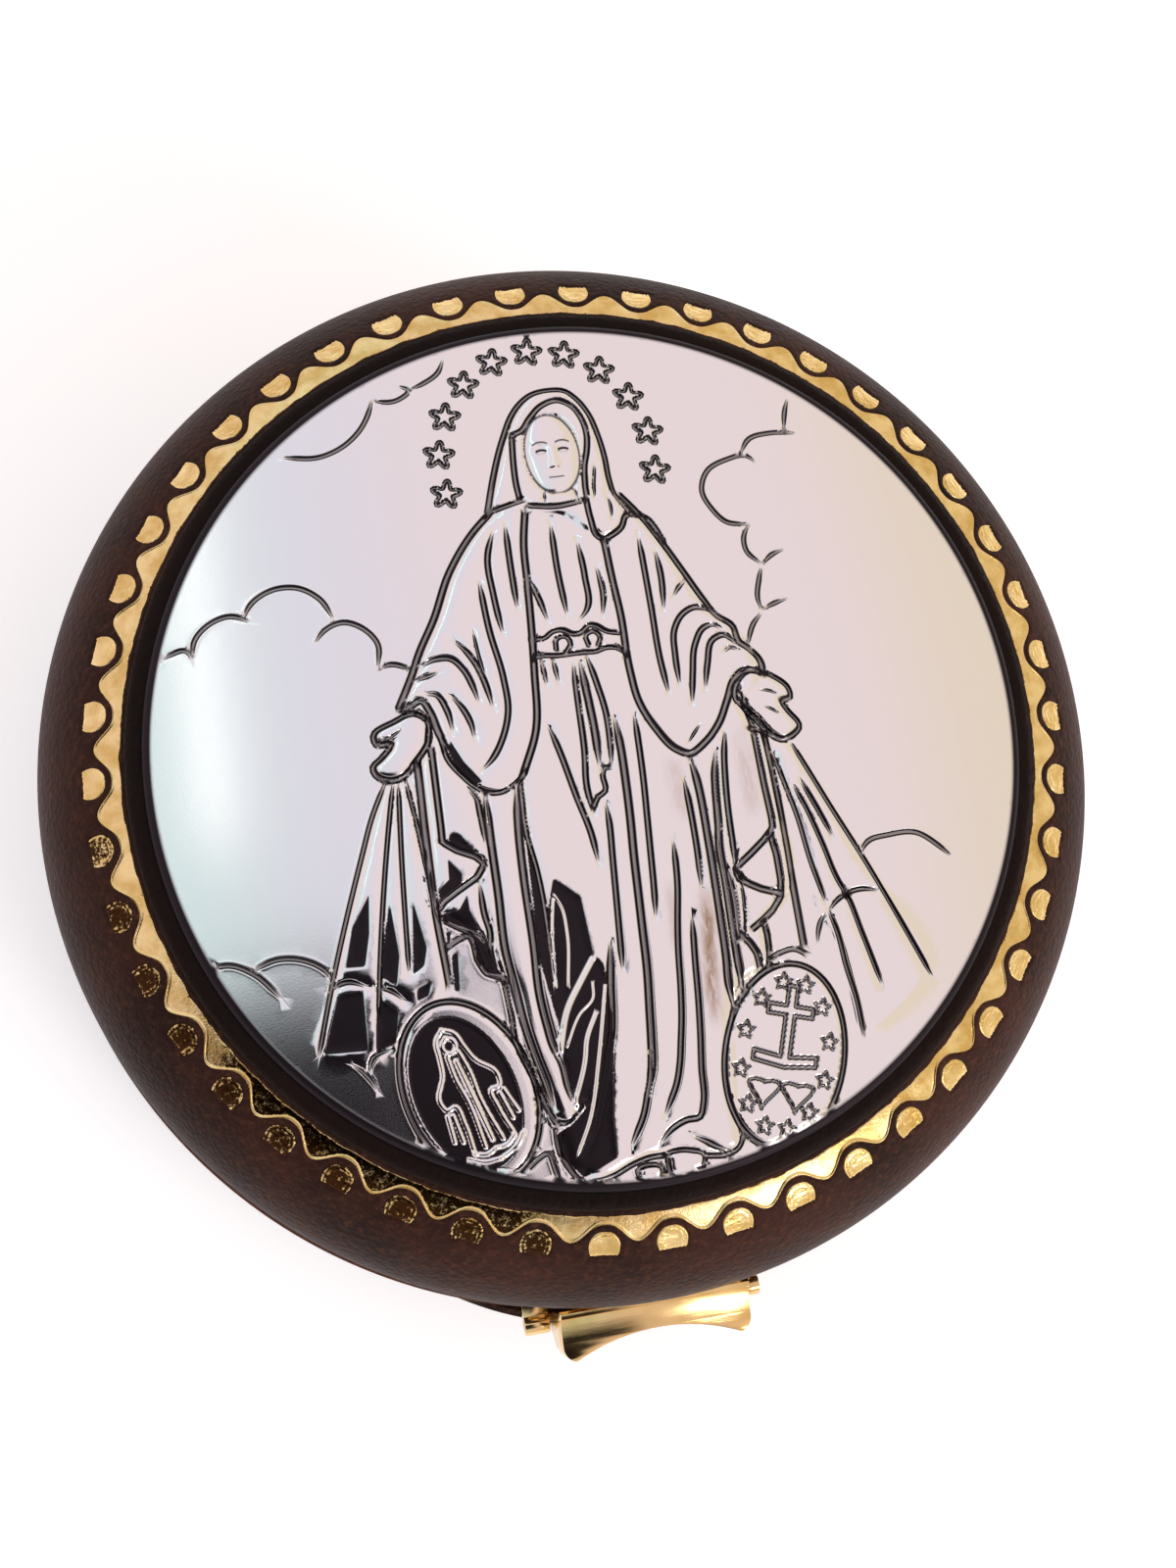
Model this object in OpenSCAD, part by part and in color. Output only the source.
// Round leather rosary box with a domed silver plaque, a rear hinge and a front lever clasp.
// Millimetres. Origin: centre of the underside. +Z up, clasp towards -Y, hinge towards +Y.

/* [Box] */
// Diameter of the lid, over its leather
lid_d = 66; // [60:0.5:74]
// Height of the base, from the table to its top edge
base_h = 15; // [14.5:0.25:20]
// Height of the lid's straight wall, from the base's top edge
lid_wall_h = 5.5; // [5.25:0.25:7]
// Radius of the lid's rounded shoulder
shoulder_r = 7.9; // [6.5:0.1:8.5]
// How far the base stands out past the lid
base_proud = 0.2; // [0:0.05:0.3]
// Radius of the base's rounded lower edge
base_round_r = 4; // [3:0.25:4.5]
// Gap between the lid and the base
parting_gap = 0.3; // [0.25:0.05:0.4]

/* [Walls] */
// Thickness of the leather
leather_t = 1; // [0.8:0.05:1.2]
// Wall of the lid's wooden core
lid_core_t = 2.6; // [2.2:0.1:3.2]
// Top of the lid's wooden core
lid_core_top_t = 2.7; // [2.2:0.1:3.2]
// Floor of the base's wooden core
floor_t = 2.4; // [1.8:0.1:3]
// Thickness of the foot pad under the base
foot_t = 1; // [0.8:0.1:1.5]
// Width of the leather that is turned in under the base
turn_in = 6; // [4:0.5:9]

/* [Lining] */
// Thickness of the velvet
velvet_t = 0.9; // [0.6:0.05:1.2]
// Thickness of the neck ring that stands up out of the base
neck_t = 1; // [0.8:0.05:1.4]
// Height of the neck ring above the base's top edge
neck_rise = 2; // [1.5:0.1:2.6]
// Gap between the neck ring and the lid's lining
neck_gap = 0.3; // [0.25:0.05:0.5]
// Edge thickness of the two padded discs
pad_edge_t = 0.9; // [0.6:0.1:1.4]
// How far the padded discs swell in the middle
pad_crown = 0.9; // [0.4:0.1:1.4]
// Gap round the padded discs
pad_gap = 0.25; // [0.2:0.05:0.4]

/* [Plaque] */
// Radius of the silver plaque
plaque_r = 26.3; // [24:0.1:26.5]
// Thickness of the silver sheet
plaque_t = 0.4; // [0.3:0.05:0.6]
// Radius of the plaque's rolled rim
rim_r = 0.55; // [0.5:0.05:0.7]
// Rise of the plaque's dome above its rim
dome_rise = 2; // [1:0.1:3]
// Leather ledge left round the plaque
ledge_w = 0.4; // [0.3:0.05:0.6]
// Rise of the raised seat above the shoulder
seat_rise = 0.3; // [0.2:0.05:0.6]
// Width of the sloped leather round the seat
seat_slope_w = 0.65; // [0.5:0.05:0.8]
// Height of the chased figure above the dome
relief_h = 0.5; // [0.3:0.05:0.7]

/* [Gold border] */
// Number of stamped half moons
moons = 46; // [24:1:48]
// Leather left between the plaque's seat and the plain gold band, along the shoulder
band_gap = 0.2; // [0.1:0.05:0.4]
// Width of the plain gold band, along the shoulder
band_w = 0.9; // [0.6:0.05:1.2]
// Leather left between the gold band and the half moons
moon_gap = 0.1; // [0.1:0.05:0.3]
// Width of a half moon
moon_w = 1.9; // [1.6:0.1:2]
// Length of a half moon, down the shoulder
moon_l = 2.1; // [1.8:0.1:2.4]
// Thickness of the gold foil
foil_t = 0.1; // [0.08:0.01:0.15]

/* [Hinge] */
// Width of the hinge leaves
leaf_w = 14; // [13.5:0.5:18]
// Thickness of the hinge leaves
leaf_t = 0.5; // [0.4:0.05:0.6]
// Height of a hinge leaf
leaf_h = 3.4; // [3:0.1:3.6]
// Radius of the hinge knuckles
knuckle_r = 0.9; // [0.85:0.05:1.05]
// Gap between the knuckles and the leather
knuckle_gap = 0.25; // [0.2:0.05:0.35]
// Radius of the hinge pin
hinge_pin_r = 0.45; // [0.4:0.01:0.5]
// Length of the middle knuckle
mid_knuckle_w = 5; // [4:0.25:6]
// Length of each outer knuckle
end_knuckle_w = 3.4; // [3:0.1:3.6]

/* [Clasp] */
// Width of the lever
lever_w = 12; // [10:0.25:12.5]
// How far the lever's lip stands out past the base
lip_reach = 2.9; // [2.5:0.1:3.4]
// Depth of the thumb cut in the lip
thumb_cut = 1.25; // [0.8:0.05:1.5]
// Drop from the base's top edge to the lever's pivot
pivot_drop = 4; // [3.8:0.1:4.4]
// Radius of the lever's barrel
barrel_r = 0.7; // [0.65:0.05:0.75]
// Radius of the clasp's pin
clasp_pin_r = 0.35; // [0.3:0.01:0.38]
// Length of each of the bracket's knuckles
ear_w = 1.6; // [1.4:0.1:1.8]
// Thickness of the bracket and of the catch plate
plate_t = 0.5; // [0.4:0.05:0.55]
// Width of the catch plate's ridge
ridge_w = 9; // [7:0.5:9.5]
// Rise of the leather swell below the clasp
swell = 1.4; // [0.8:0.1:1.6]
// Height of the leather swell
swell_h = 4.6; // [3.8:0.2:5.2]
// Half width of the leather swell
swell_half_w = 12; // [11:0.5:14]
// Radius of the lip's rounded corners
lip_corner_r = 1; // [0.6:0.1:1.4]

/* [Fits] */
// Radial running clearance of both pins
run_gap = 0.05; // [0.03:0.01:0.09]
// Side gap between knuckles
side_gap = 0.15; // [0.1:0.05:0.25]
// Gap between the lever's nose and the catch ridge
snap_gap = 0.15; // [0.1:0.05:0.25]
// Radial gap of a glued or pressed fit
glue_gap = 0.02; // [0.01:0.01:0.04]
// Radius of the shank of a fixing pin
tack_r = 0.35; // [0.3:0.05:0.4]
// Radius of the head of a fixing pin
tack_head_r = 0.7; // [0.6:0.05:0.8]
// Length of a fixing pin below the plate that it holds
tack_len = 2; // [1.6:0.1:2.4]

/* [Hidden] */
$fn = 96;

// Main radii and heights
lid_r = lid_d / 2;
base_r = lid_r + base_proud;
lid_z0 = base_h + parting_gap;
shoulder_z = base_h + lid_wall_h;
shoulder_cx = lid_r - shoulder_r;
seat_r = plaque_r + ledge_w;
seat_foot_r = seat_r + seat_slope_w;
seat_z = shoulder_z + shoulder_r + seat_rise;
seat_foot_a = acos((seat_foot_r - shoulder_cx) / shoulder_r);
core_top_z = seat_z - leather_t;
ceiling_z = core_top_z - lid_core_top_t;
lid_bore_r = lid_r - leather_t - lid_core_t;
lining_r = lid_bore_r - velvet_t;
neck_r = lining_r - neck_gap;
neck_bore_r = neck_r - neck_t;
well_r = neck_bore_r - velvet_t;
neck_top_z = base_h + neck_rise;
board_z = foot_t;
core_z0 = foot_t + leather_t;
floor_z = core_z0 + floor_t;
foot_r = base_r - base_round_r;
turn_in_r = base_r - base_round_r - turn_in;
inner_round_r = shoulder_r - leather_t - lid_core_t;

// Dome of the plaque
rim_in_r = plaque_r - rim_r;
rim_top_z = seat_z + rim_r;
dome_r = (rim_in_r * rim_in_r + dome_rise * dome_rise) / (2 * dome_rise);
dome_cz = rim_top_z + dome_rise - dome_r;
dome_steps = 14;

// Hinge
hinge_y = base_r + knuckle_gap + knuckle_r;
hinge_z = base_h + parting_gap / 2;
leaf_gap = knuckle_r + 0.4;
lid_leaf_z = hinge_z + leaf_gap;
base_leaf_z = hinge_z - leaf_gap - leaf_h;
hinge_half_w = mid_knuckle_w / 2 + side_gap + end_knuckle_w;
web_t = 0.45;

// Clasp, in distance d from the box's axis towards -Y and in height z
window_gap = 0.1;
pivot_out = 0.4;
pivot_d = base_r + pivot_out;
pivot_z = base_h - pivot_drop;
plate_r = base_r - leather_t + plate_t;
lever_back_gap = 0.3;
lever_in_d = plate_r + lever_back_gap;
catch_face_r = lid_r - leather_t + plate_t;
ridge_t = 0.2;
ridge_d = catch_face_r + ridge_t;
ridge_up = 0.4;
ridge_z = lid_z0 + ridge_up;
ridge_h = 0.5;
nose_up = 0.2;
nose_z = ridge_z + ridge_h + nose_up;
nose_h = 0.8;
nose_d = ridge_d + snap_gap;
nose_t = 0.55;
lip_d = base_r + lip_reach;
lip_up = 0.6;
lip_z = base_h + lip_up;
step_d = nose_d + nose_t;
lever_gap = 0.4;
window_head = 1;
window_top = nose_z + nose_h + window_head;
ear_out = lever_w / 2 + side_gap + ear_w;
bracket_half_w = ear_out + window_gap;
catch_half_w = lever_w / 2 + lever_gap - window_gap;
swell_gap = 0.4;
swell_top = pivot_z - barrel_r - swell_gap;
tack_clear = 0.02;

// How far a cut runs past the surface that it opens
over = 1;

// The swell is turned about an axis of its own, in front of the box's axis
swell_root = 0.3;
swell_round_r = 0.5;
swell_d = base_r + swell;
swell_edge_d = sqrt(pow(base_r, 2) - pow(swell_half_w, 2));
swell_axis_d = (swell_d * swell_d - base_r * base_r) / (2 * (swell_d - swell_edge_d));
swell_turn_r = swell_d - swell_axis_d;

// Points of an arc about [cx, cy], from angle a0 to a1
function arc(cx, cy, r, a0, a1, n) = [for (i = [0:n]) let (a = a0 + (a1 - a0) * i / n)
    [cx + r * cos(a), cy + r * sin(a)]];
// Height of the dome above a radius; lift raises it square to its surface
function dome_z(r, lift = 0) = dome_cz + sqrt(pow(dome_r + lift, 2) - r * r);
// Points along the dome, from radius r0 to the axis
function dome_line(r0, lift = 0) = [for (i = [0:dome_steps]) let (r = r0 * (1 - i / dome_steps))
    [r, dome_z(r, lift)]];
// Point of a smooth curve through p0..p3, between p1 and p2
function spline_point(p0, p1, p2, p3, t) = 0.5 * (2 * p1 + (p2 - p0) * t
    + (2 * p0 - 5 * p1 + 4 * p2 - p3) * t * t + (3 * p1 - p0 - 3 * p2 + p3) * t * t * t);
// Closed smooth curve through a list of points, with n steps between two of them
function smooth_loop(p, n = 3) = let (c = len(p)) [for (i = [0:c - 1]) for (k = [0:n - 1])
    spline_point(p[(i + c - 1) % c], p[i], p[(i + 1) % c], p[(i + 2) % c], k / n)];
// Ellipse of half lengths a and b about a point, turned by an angle
function ellipse(at, a, b, turn, n = 28) = [for (i = [0:n - 1])
    let (u = a * cos(360 * i / n), v = b * sin(360 * i / n))
    [at[0] + u * cos(turn) - v * sin(turn), at[1] + u * sin(turn) + v * cos(turn)]];

// Line of the lid's outside, set in by an inset
function lid_line(inset) = concat(
    arc(shoulder_cx, shoulder_z, shoulder_r - inset, 0, seat_foot_a, 12),
    [[seat_r - 0.6 * inset, seat_z - inset], [0, seat_z - inset]]);
// Line of the base's outside up to a height, set in by an inset
function base_line(inset, top) = concat(
    arc(base_r - base_round_r, foot_t + base_round_r, base_round_r - inset, -90, 0, 8),
    [[base_r - inset, top]]);

// A ring sector that looks towards an angle and is 2 * half_w wide
module sector_ring(r_in, r_out, half_w, h, dir) {
    intersection() {
        difference() {
            cylinder(r = r_out, h = h);
            translate([0, 0, -over]) cylinder(r = r_in, h = h + 2 * over);
        }
        rotate([0, 0, dir]) translate([r_in / 2, -half_w, -over]) cube([r_out, 2 * half_w, h + 2 * over]);
    }
}

// Headed pins driven towards the axis through a plate whose face has the radius face_r
module tacks(face_r, z, angles, through) {
    for (a = angles)
        rotate([0, 0, a]) translate([face_r, 0, z]) rotate([0, 90, 0])
            rotate_extrude($fn = 32)
                polygon([[0, -through - tack_len], [tack_r, -through - tack_len + 0.3], [tack_r, 0],
                    [tack_head_r, 0], [tack_head_r, 0.12], [0.55 * tack_head_r, 0.32], [0, 0.36]]);
}

// The holes of the same pins
module tack_holes(face_r, z, angles, through) {
    for (a = angles)
        rotate([0, 0, a]) translate([face_r, 0, z]) rotate([0, 90, 0])
            translate([0, 0, -through - tack_len - 0.1])
                cylinder(r = tack_r + tack_clear, h = through + tack_len + 1.1, $fn = 32);
}

// Angles of the fixing pins of each plate
hinge_tack_a = [for (k = [-1, 0, 1]) 90 + k * asin((leaf_w / 2 - 1.4) / base_r)];
bracket_tack_a = [for (k = [-1, 1]) -90 + k * asin((ear_out - ear_w / 2) / base_r)];
catch_tack_a = [for (k = [-1, 1]) -90 + k * asin((catch_half_w - 1.2) / lid_r)];
lid_leaf_r = lid_r + leaf_t;
base_leaf_r = base_r + leaf_t;
bracket_tack_z = (pivot_z + barrel_r + base_h) / 2 + 0.2;
catch_tack_z = nose_z + nose_h + 0.05;

module hinge_base_holes() {
    tack_holes(base_leaf_r, base_leaf_z + leaf_h / 2 - 0.4, hinge_tack_a, leaf_t);
}
module hinge_lid_holes() {
    tack_holes(lid_leaf_r, lid_leaf_z + leaf_h / 2 + 0.4, hinge_tack_a, leaf_t);
}
module bracket_holes() {
    tack_holes(plate_r, bracket_tack_z, bracket_tack_a, plate_t);
}
module catch_holes() {
    tack_holes(catch_face_r, catch_tack_z, catch_tack_a, plate_t);
}

// Turned beech cup of the base
module base_core() color("#C9A678") {
    difference() {
        rotate_extrude() polygon(concat([[0, core_z0]], base_line(leather_t, base_h - leather_t),
            [[neck_r + glue_gap, base_h - leather_t], [neck_r + glue_gap, floor_z], [0, floor_z]]));
        hinge_base_holes();
        bracket_holes();
    }
}

// Leather of the base: side, swell under the clasp, top edge and turned-in bottom edge
module base_leather() color("#4A2A20") {
    difference() {
        union() {
            rotate_extrude() polygon(concat([[turn_in_r, foot_t]], base_line(0, base_h),
                [[neck_r + glue_gap, base_h], [neck_r + glue_gap, base_h - leather_t]],
                [for (i = [9:-1:0]) base_line(leather_t, base_h - leather_t)[i]],
                [[turn_in_r, core_z0]]));
            clasp_swell();
        }
        bracket_window();
        hinge_base_holes();
    }
}

// Opening in the base's leather for the bracket and the lever
module bracket_window() {
    difference() {
        translate([-bracket_half_w - window_gap, -swell_d - over, swell_top])
            cube([2 * (bracket_half_w + window_gap), base_r, base_h - swell_top + over]);
        cylinder(r = base_r - leather_t, h = base_h + 2 * over);
    }
}

// Side view of the swell, from its lower end up to its rounded upper edge
function swell_line() = concat(
    [for (i = [0:8]) let (t = i / 8)
        [swell_turn_r - (swell + swell_root) * pow(1 - t, 2),
            swell_top - swell_h + (swell_h - swell_round_r) * t]],
    arc(swell_turn_r - swell_round_r, swell_top - swell_round_r, swell_round_r, 15, 90, 5));

// Swell of the base's leather below the clasp, which dies away to both sides
module clasp_swell() {
    root_r = swell_turn_r - swell - 2 * swell_root;
    difference() {
        translate([0, -swell_axis_d, 0]) rotate_extrude()
            polygon(concat([[root_r, swell_top], [root_r, swell_top - swell_h]], swell_line()));
        translate([0, 0, swell_top - swell_h - over])
            cylinder(r = base_r - swell_root, h = swell_h + 2 * over);
    }
}

// Board that fills the turned-in leather's middle
module base_board() color("#B9A58A") {
    translate([0, 0, board_z]) cylinder(r = turn_in_r - glue_gap, h = leather_t);
}

// Felt pad that the box stands on
module foot_pad() color("#3A2420") {
    cylinder(r = foot_r, h = foot_t);
}

// Neck ring, glued into the base, that guides the lid
module neck_ring() color("#6B4A38") {
    translate([0, 0, floor_z]) difference() {
        cylinder(r = neck_r, h = neck_top_z - floor_z);
        translate([0, 0, -over]) cylinder(r = neck_bore_r, h = neck_top_z - floor_z + 2 * over);
    }
}

// Velvet round the inside of the neck ring
module base_lining() color("#7A1F2B") {
    translate([0, 0, floor_z]) difference() {
        cylinder(r = neck_bore_r - glue_gap, h = neck_top_z - floor_z);
        translate([0, 0, -over]) cylinder(r = well_r, h = neck_top_z - floor_z + 2 * over);
    }
}

// Line of a padded disc: rounded edge, crowned middle
function cushion_line(r) = concat([[0, 0], [r - 0.3, 0], [r, 0.3]],
    [for (i = [0:10]) let (q = (r - 0.05) * (1 - i / 10))
        [q, pad_edge_t + pad_crown * (1 - pow(q / r, 4))]]);

// Velvet-covered padded disc on the base's floor
module base_cushion() color("#7A1F2B") {
    translate([0, 0, floor_z]) rotate_extrude() polygon(cushion_line(well_r - pad_gap));
}

// Turned beech core of the lid
module lid_core() color("#C9A678") {
    difference() {
        rotate_extrude() polygon(concat(
            [[lid_bore_r, lid_z0 + leather_t], [lid_r - leather_t, lid_z0 + leather_t]],
            lid_line(leather_t), [[0, ceiling_z]],
            arc(lid_bore_r - inner_round_r, ceiling_z - inner_round_r, inner_round_r, 90, 0, 8)));
        hinge_lid_holes();
        catch_holes();
    }
}

// Leather of the lid: top, shoulder, wall and turned-under lower edge
module lid_leather() color("#4A2A20") {
    difference() {
        rotate_extrude() polygon(concat([[lid_bore_r, lid_z0], [lid_r, lid_z0]], lid_line(0),
            [for (i = [14:-1:0]) lid_line(leather_t)[i]],
            [[lid_r - leather_t, lid_z0 + leather_t], [lid_bore_r, lid_z0 + leather_t]]));
        hinge_lid_holes();
        catch_window();
    }
}

// Opening in the lid's leather that lets the lever's nose reach the catch
module catch_window() {
    difference() {
        translate([-lever_w / 2 - lever_gap, -lid_r - over, lid_z0 - over])
            cube([lever_w + 2 * lever_gap, lid_r, window_top - lid_z0 + over]);
        cylinder(r = lid_r - leather_t, h = window_top + over);
    }
}

// Velvet cup glued inside the lid
module lid_lining() color("#7A1F2B") {
    rotate_extrude() polygon(concat(
        [[lining_r, lid_z0], [lid_bore_r - glue_gap, lid_z0]],
        arc(lid_bore_r - inner_round_r, ceiling_z - inner_round_r, inner_round_r - glue_gap, 0, 90, 8),
        [[0, ceiling_z - glue_gap], [0, ceiling_z - velvet_t]],
        arc(lid_bore_r - inner_round_r, ceiling_z - inner_round_r, inner_round_r - velvet_t, 90, 0, 8)));
}

// Padded disc under the lid's top
module lid_cushion() color("#7A1F2B") {
    translate([0, 0, ceiling_z - velvet_t]) rotate([180, 0, 0])
        rotate_extrude() polygon(cushion_line(lid_bore_r - inner_round_r - pad_gap));
}

// Filler that backs the plaque's dome
module plaque_backing() color("#8C7A66") {
    rotate_extrude() polygon(concat([[0, seat_z], [plaque_r - plaque_t - glue_gap, seat_z]],
        dome_line(rim_in_r, -plaque_t - glue_gap)));
}

// Outlines of the chased figure and medals, seen from above
mantle = smooth_loop([[-3.4, 14.6], [-6.8, 9.8], [-9.8, 5], [-11.3, 2.9], [-10.7, 0.5], [-10.9, -4],
    [-10.9, -8.8], [-9, -10.6], [-8.6, -12.7], [-7.5, -13.6], [-7.3, -17.5], [-6, -21.9], [-5.9, -23.6],
    [-4.6, -25.1], [0, -24.4], [4.4, -24.8], [4.3, -20], [5.4, -16.8], [6.6, -15.4], [7.9, -14.4],
    [8.1, -12.3], [10, -11.4], [10, -6], [9.8, -1], [10.7, 2.2], [9.6, 4.6], [6.8, 9.6], [3.5, 14.4],
    [0, 15.3]], 2);
veil = ellipse([0.2, 17.6], 2.9, 3.7, 0);
left_hand = ellipse([-11.7, 0.8], 1.7, 1.1, 40, 14);
right_hand = ellipse([10.9, 0.2], 1.7, 1.1, -40, 14);
left_medal = ellipse([-10.5, -19.15], 5.3, 3.6, -73);
right_medal = ellipse([7.85, -20.05], 5.3, 3.6, 73);

// Part of the dome, raised by a lift, that stands on an outline
module raised(outline, lift) {
    intersection() {
        rotate_extrude() polygon(concat([[0, seat_z], [rim_in_r, seat_z]], dome_line(rim_in_r, lift)));
        difference() {
            translate([0, 0, seat_z]) linear_extrude(rim_r + dome_rise + relief_h + over) polygon(outline);
            translate([0, 0, dome_cz]) sphere(r = dome_r - plaque_t / 2, $fn = 200);
        }
    }
}

// Silver sheet formed into a rim and a dome, with the chased figure
module silver_plaque() color("#D9CFD2") {
    union() {
        rotate_extrude() polygon(concat([[plaque_r - plaque_t, seat_z]],
            arc(rim_in_r, seat_z, rim_r, 0, 75, 5), dome_line(rim_in_r),
            [for (i = [dome_steps:-1:0]) dome_line(rim_in_r, -plaque_t)[i]]));
        raised(mantle, relief_h);
        raised(veil, relief_h);
        raised(left_hand, relief_h);
        raised(right_hand, relief_h);
        raised(left_medal, relief_h / 2);
        raised(right_medal, relief_h / 2);
    }
}

// Angle on the shoulder of a point that lies a length s below the seat's foot
function shoulder_a(s) = seat_foot_a - s * 180 / (PI * shoulder_r);
// Part of the foil that lies on the shoulder between the lengths s0 and s1 below the seat's foot
function foil_band(s0, s1) = concat(
    arc(shoulder_cx, shoulder_z, shoulder_r + foil_t, shoulder_a(s0), shoulder_a(s1), 6),
    arc(shoulder_cx, shoulder_z, shoulder_r, shoulder_a(s1), shoulder_a(s0), 6));

// Stamped gold foil: a plain band and a ring of half moons, round towards the plaque
module gold_border() color("#E6C27A") {
    moon_s = band_gap + band_w + moon_gap;
    rotate_extrude() polygon(foil_band(band_gap, band_gap + band_w));
    intersection() {
        rotate_extrude() polygon(foil_band(moon_s, moon_s + moon_l));
        union() for (i = [0:moons - 1])
            rotate([0, 0, (i + 0.5) * 360 / moons]) translate([shoulder_cx, 0, shoulder_z])
                rotate([0, 90 - shoulder_a(moon_s + moon_w / 2), 0]) {
                    cylinder(r = moon_w / 2, h = shoulder_r + over, $fn = 24);
                    translate([0, -moon_w / 2, 0]) cube([moon_l, moon_w, shoulder_r + over]);
                }
    }
}

// One knuckle along X, with its web back to a leaf; dir is 1 for the lid and -1 for the base
module knuckle(x0, x1, wall_r, dir) {
    difference() {
        union() {
            translate([x0, hinge_y, hinge_z]) rotate([0, 90, 0])
                cylinder(r = knuckle_r, h = x1 - x0, $fn = 48);
            translate([x0, hinge_y - knuckle_r - over, dir > 0 ? hinge_z : hinge_z - leaf_gap - web_t])
                cube([x1 - x0, over + web_t, leaf_gap + web_t]);
        }
        translate([0, 0, hinge_z - leaf_gap - over]) cylinder(r = wall_r, h = 2 * leaf_gap + 2 * over);
    }
}

// Brass leaf of the lid with the middle knuckle
module hinge_lid_leaf() color("#D9B465") {
    difference() {
        union() {
            translate([0, 0, lid_leaf_z]) sector_ring(lid_r, lid_leaf_r, leaf_w / 2, leaf_h, 90);
            knuckle(-mid_knuckle_w / 2, mid_knuckle_w / 2, lid_r, 1);
        }
        hinge_bore(run_gap);
        hinge_lid_holes();
    }
}

// Brass leaf of the base with the two outer knuckles
module hinge_base_leaf() color("#D9B465") {
    difference() {
        union() {
            translate([0, 0, base_leaf_z]) sector_ring(base_r, base_leaf_r, leaf_w / 2, leaf_h, 90);
            for (s = [-1, 1])
                knuckle(s > 0 ? mid_knuckle_w / 2 + side_gap : -hinge_half_w,
                    s > 0 ? hinge_half_w : -mid_knuckle_w / 2 - side_gap, base_r, -1);
        }
        hinge_bore(glue_gap);
        hinge_base_holes();
    }
}

// Bore of the hinge, larger than the pin by a gap
module hinge_bore(gap) {
    translate([-hinge_half_w - 1, hinge_y, hinge_z]) rotate([0, 90, 0])
        cylinder(r = hinge_pin_r + gap, h = 2 * hinge_half_w + 2, $fn = 48);
}

// Steel pin of the hinge
module hinge_pin() color("#B8A070") {
    translate([-hinge_half_w, hinge_y, hinge_z]) rotate([0, 90, 0])
        cylinder(r = hinge_pin_r, h = 2 * hinge_half_w, $fn = 48);
}

module hinge_base_tacks() color("#D9B465") {
    tacks(base_leaf_r, base_leaf_z + leaf_h / 2 - 0.4, hinge_tack_a, leaf_t);
}
module hinge_lid_tacks() color("#D9B465") {
    tacks(lid_leaf_r, lid_leaf_z + leaf_h / 2 + 0.4, hinge_tack_a, leaf_t);
}

// Brass bracket let into the base's leather, with a knuckle at each end
module clasp_bracket() color("#E6C27A") {
    difference() {
        union() {
            translate([0, 0, swell_top + window_gap])
                sector_ring(base_r - leather_t, plate_r, bracket_half_w,
                    base_h - swell_top - 2 * window_gap, -90);
            for (s = [-1, 1]) difference() {
                union() {
                    translate([s * (ear_out - ear_w / 2) - ear_w / 2, -pivot_d, pivot_z]) rotate([0, 90, 0])
                        cylinder(r = barrel_r, h = ear_w, $fn = 48);
                    translate([s * (ear_out - ear_w / 2) - ear_w / 2, -pivot_d, pivot_z - 0.5])
                        cube([ear_w, 3, 1]);
                }
                translate([0, 0, pivot_z - 2]) cylinder(r = base_r - leather_t, h = 4);
            }
        }
        clasp_bore(glue_gap);
        bracket_holes();
    }
}

// Bore of the clasp, larger than the pin by a gap
module clasp_bore(gap) {
    translate([-ear_out - 1, -pivot_d, pivot_z]) rotate([0, 90, 0])
        cylinder(r = clasp_pin_r + gap, h = 2 * ear_out + 2, $fn = 48);
}

module clasp_pin() color("#B8A070") {
    translate([-ear_out, -pivot_d, pivot_z]) rotate([0, 90, 0])
        cylinder(r = clasp_pin_r, h = 2 * ear_out, $fn = 48);
}

module clasp_bracket_tacks() color("#E6C27A") {
    tacks(plate_r, bracket_tack_z, bracket_tack_a, plate_t);
}

// Side view of the lever, [d, z]: back, nose, step, lip and bowed front
lever_side = concat(
    [[pivot_d, pivot_z], [lever_in_d, pivot_z], [lever_in_d, nose_z - 0.1], [nose_d, nose_z],
        [nose_d, nose_z + nose_h - 0.2], [nose_d + 0.15, nose_z + nose_h], [step_d - 0.1, nose_z + nose_h],
        [step_d, nose_z + 0.1]],
    [for (i = [1:5]) let (t = i / 5) [step_d + (lip_d - 0.3 - step_d) * t,
        nose_z + 0.1 + (lip_z + 0.2 - nose_z - 0.1) * (1 - pow(1 - t, 1.6))]],
    arc(lip_d - 0.3, lip_z - 0.1, 0.3, 70, -20, 4),
    [for (i = [1:8]) let (t = i / 8) [lip_d - 0.05 - (lip_d - 0.05 - pivot_d - barrel_r) * pow(t, 2.2),
        lip_z - 0.25 - (lip_z - 0.25 - pivot_z) * t]]);

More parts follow.
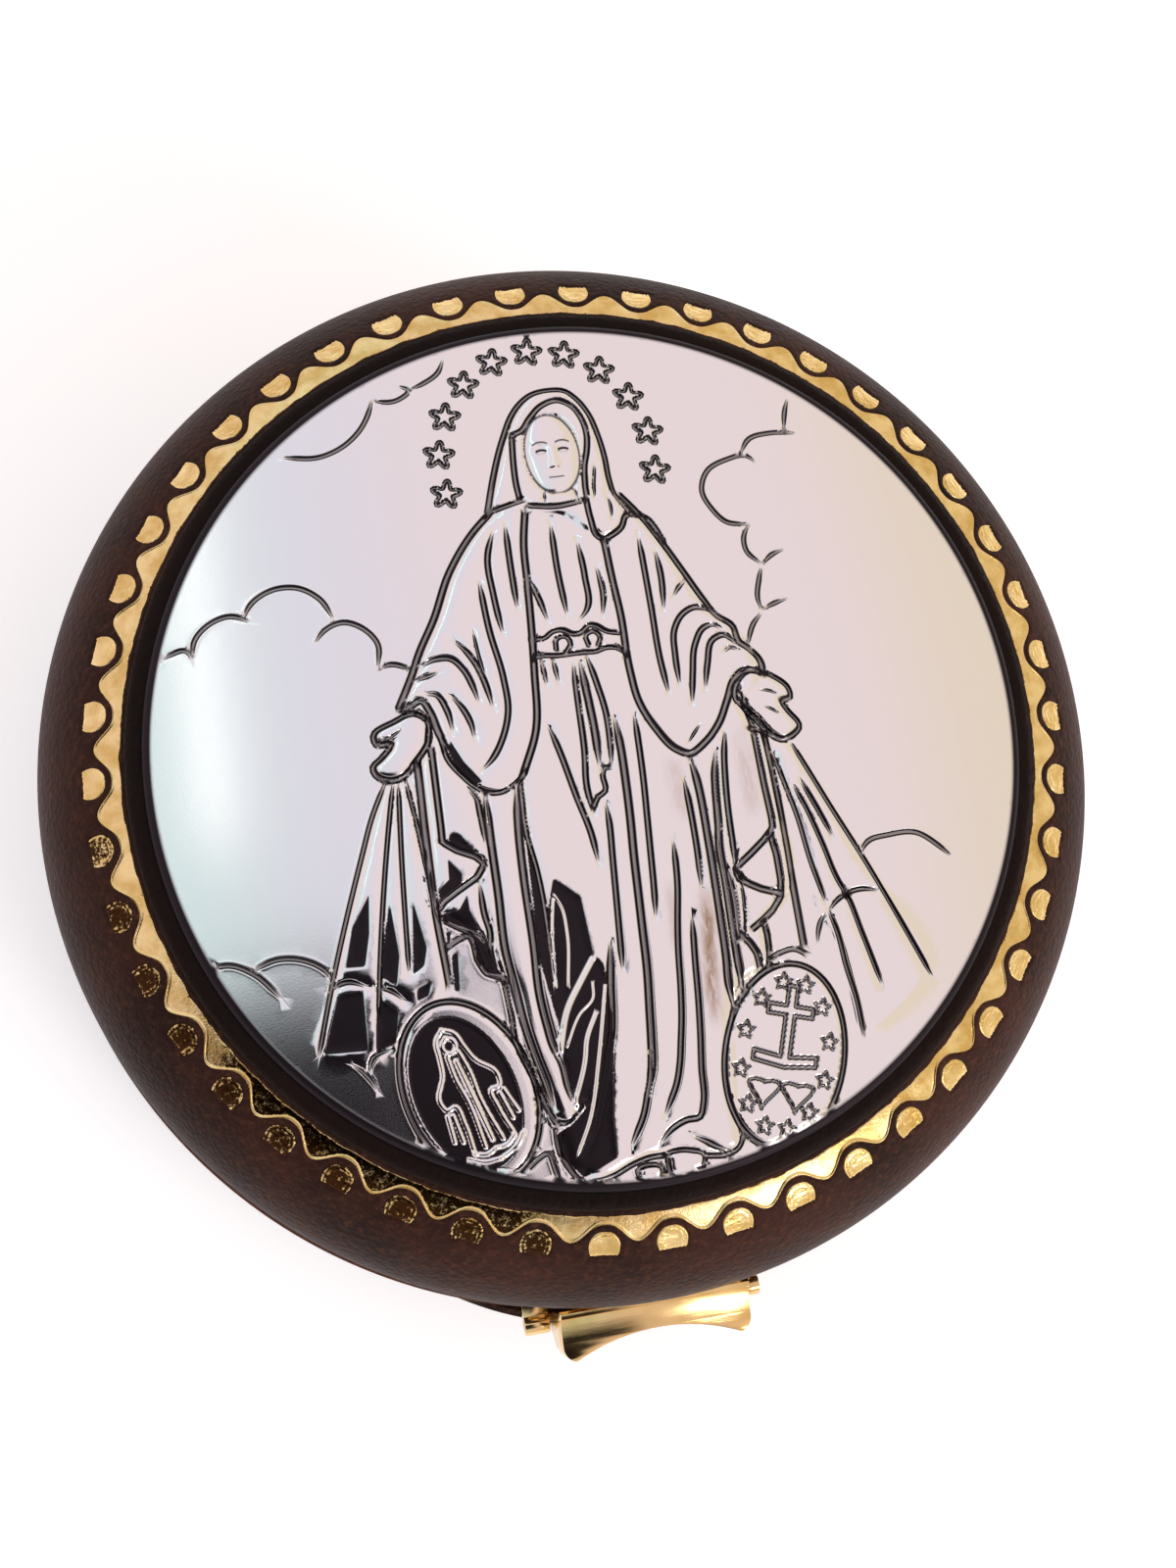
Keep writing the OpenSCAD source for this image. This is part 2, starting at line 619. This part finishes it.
// Cast brass lever with its barrel, nose, lip and thumb cut
module clasp_lever() color("#F0CF85") {
    thumb_r = (pow(lever_w / 2 - 0.6, 2) + thumb_cut * thumb_cut) / (2 * thumb_cut);
    difference() {
        union() {
            rotate([0, 0, -90]) rotate([90, 0, 0]) translate([0, 0, -lever_w / 2])
                linear_extrude(lever_w) polygon(lever_side);
            translate([-lever_w / 2, -pivot_d, pivot_z]) rotate([0, 90, 0])
                cylinder(r = barrel_r, h = lever_w, $fn = 48);
        }
        clasp_bore(run_gap);
        translate([0, -lip_d - thumb_r + thumb_cut, pivot_z - over])
            cylinder(r = thumb_r, h = window_top - pivot_z + over, $fn = 128);
        for (s = [-1, 1]) lip_corner(s);
    }
}

// What is cut off a lip corner to round it; s is the side
module lip_corner(s) {
    r = lip_corner_r;
    h = window_top - pivot_z;
    translate([s * (lever_w / 2 - r), -lip_d + r, pivot_z - over]) difference() {
        translate([s > 0 ? 0 : -2 * r, -2 * r, 0]) cube([2 * r, 2 * r, h + over]);
        translate([0, 0, -over]) cylinder(r = r, h = h + 3 * over, $fn = 48);
    }
}

// Brass plate let into the lid's leather, with the ridge that the nose snaps over
module catch_plate() color("#E6C27A") {
    difference() {
        union() {
            translate([0, 0, lid_z0 + window_gap])
                sector_ring(lid_r - leather_t, catch_face_r, catch_half_w,
                    window_top - lid_z0 - 2 * window_gap, -90);
            difference() {
                translate([-ridge_w / 2, -ridge_d, ridge_z]) cube([ridge_w, 2 * leather_t, ridge_h]);
                translate([0, 0, ridge_z - over]) cylinder(r = lid_r - leather_t, h = ridge_h + 2 * over);
            }
        }
        catch_holes();
    }
}

module catch_tacks() color("#E6C27A") {
    tacks(catch_face_r, catch_tack_z, catch_tack_a, plate_t);
}

base_core();
base_leather();
base_board();
foot_pad();
neck_ring();
base_lining();
base_cushion();
lid_core();
lid_leather();
lid_lining();
lid_cushion();
plaque_backing();
silver_plaque();
gold_border();
hinge_base_leaf();
hinge_lid_leaf();
hinge_pin();
hinge_base_tacks();
hinge_lid_tacks();
clasp_bracket();
clasp_pin();
clasp_bracket_tacks();
clasp_lever();
catch_plate();
catch_tacks();
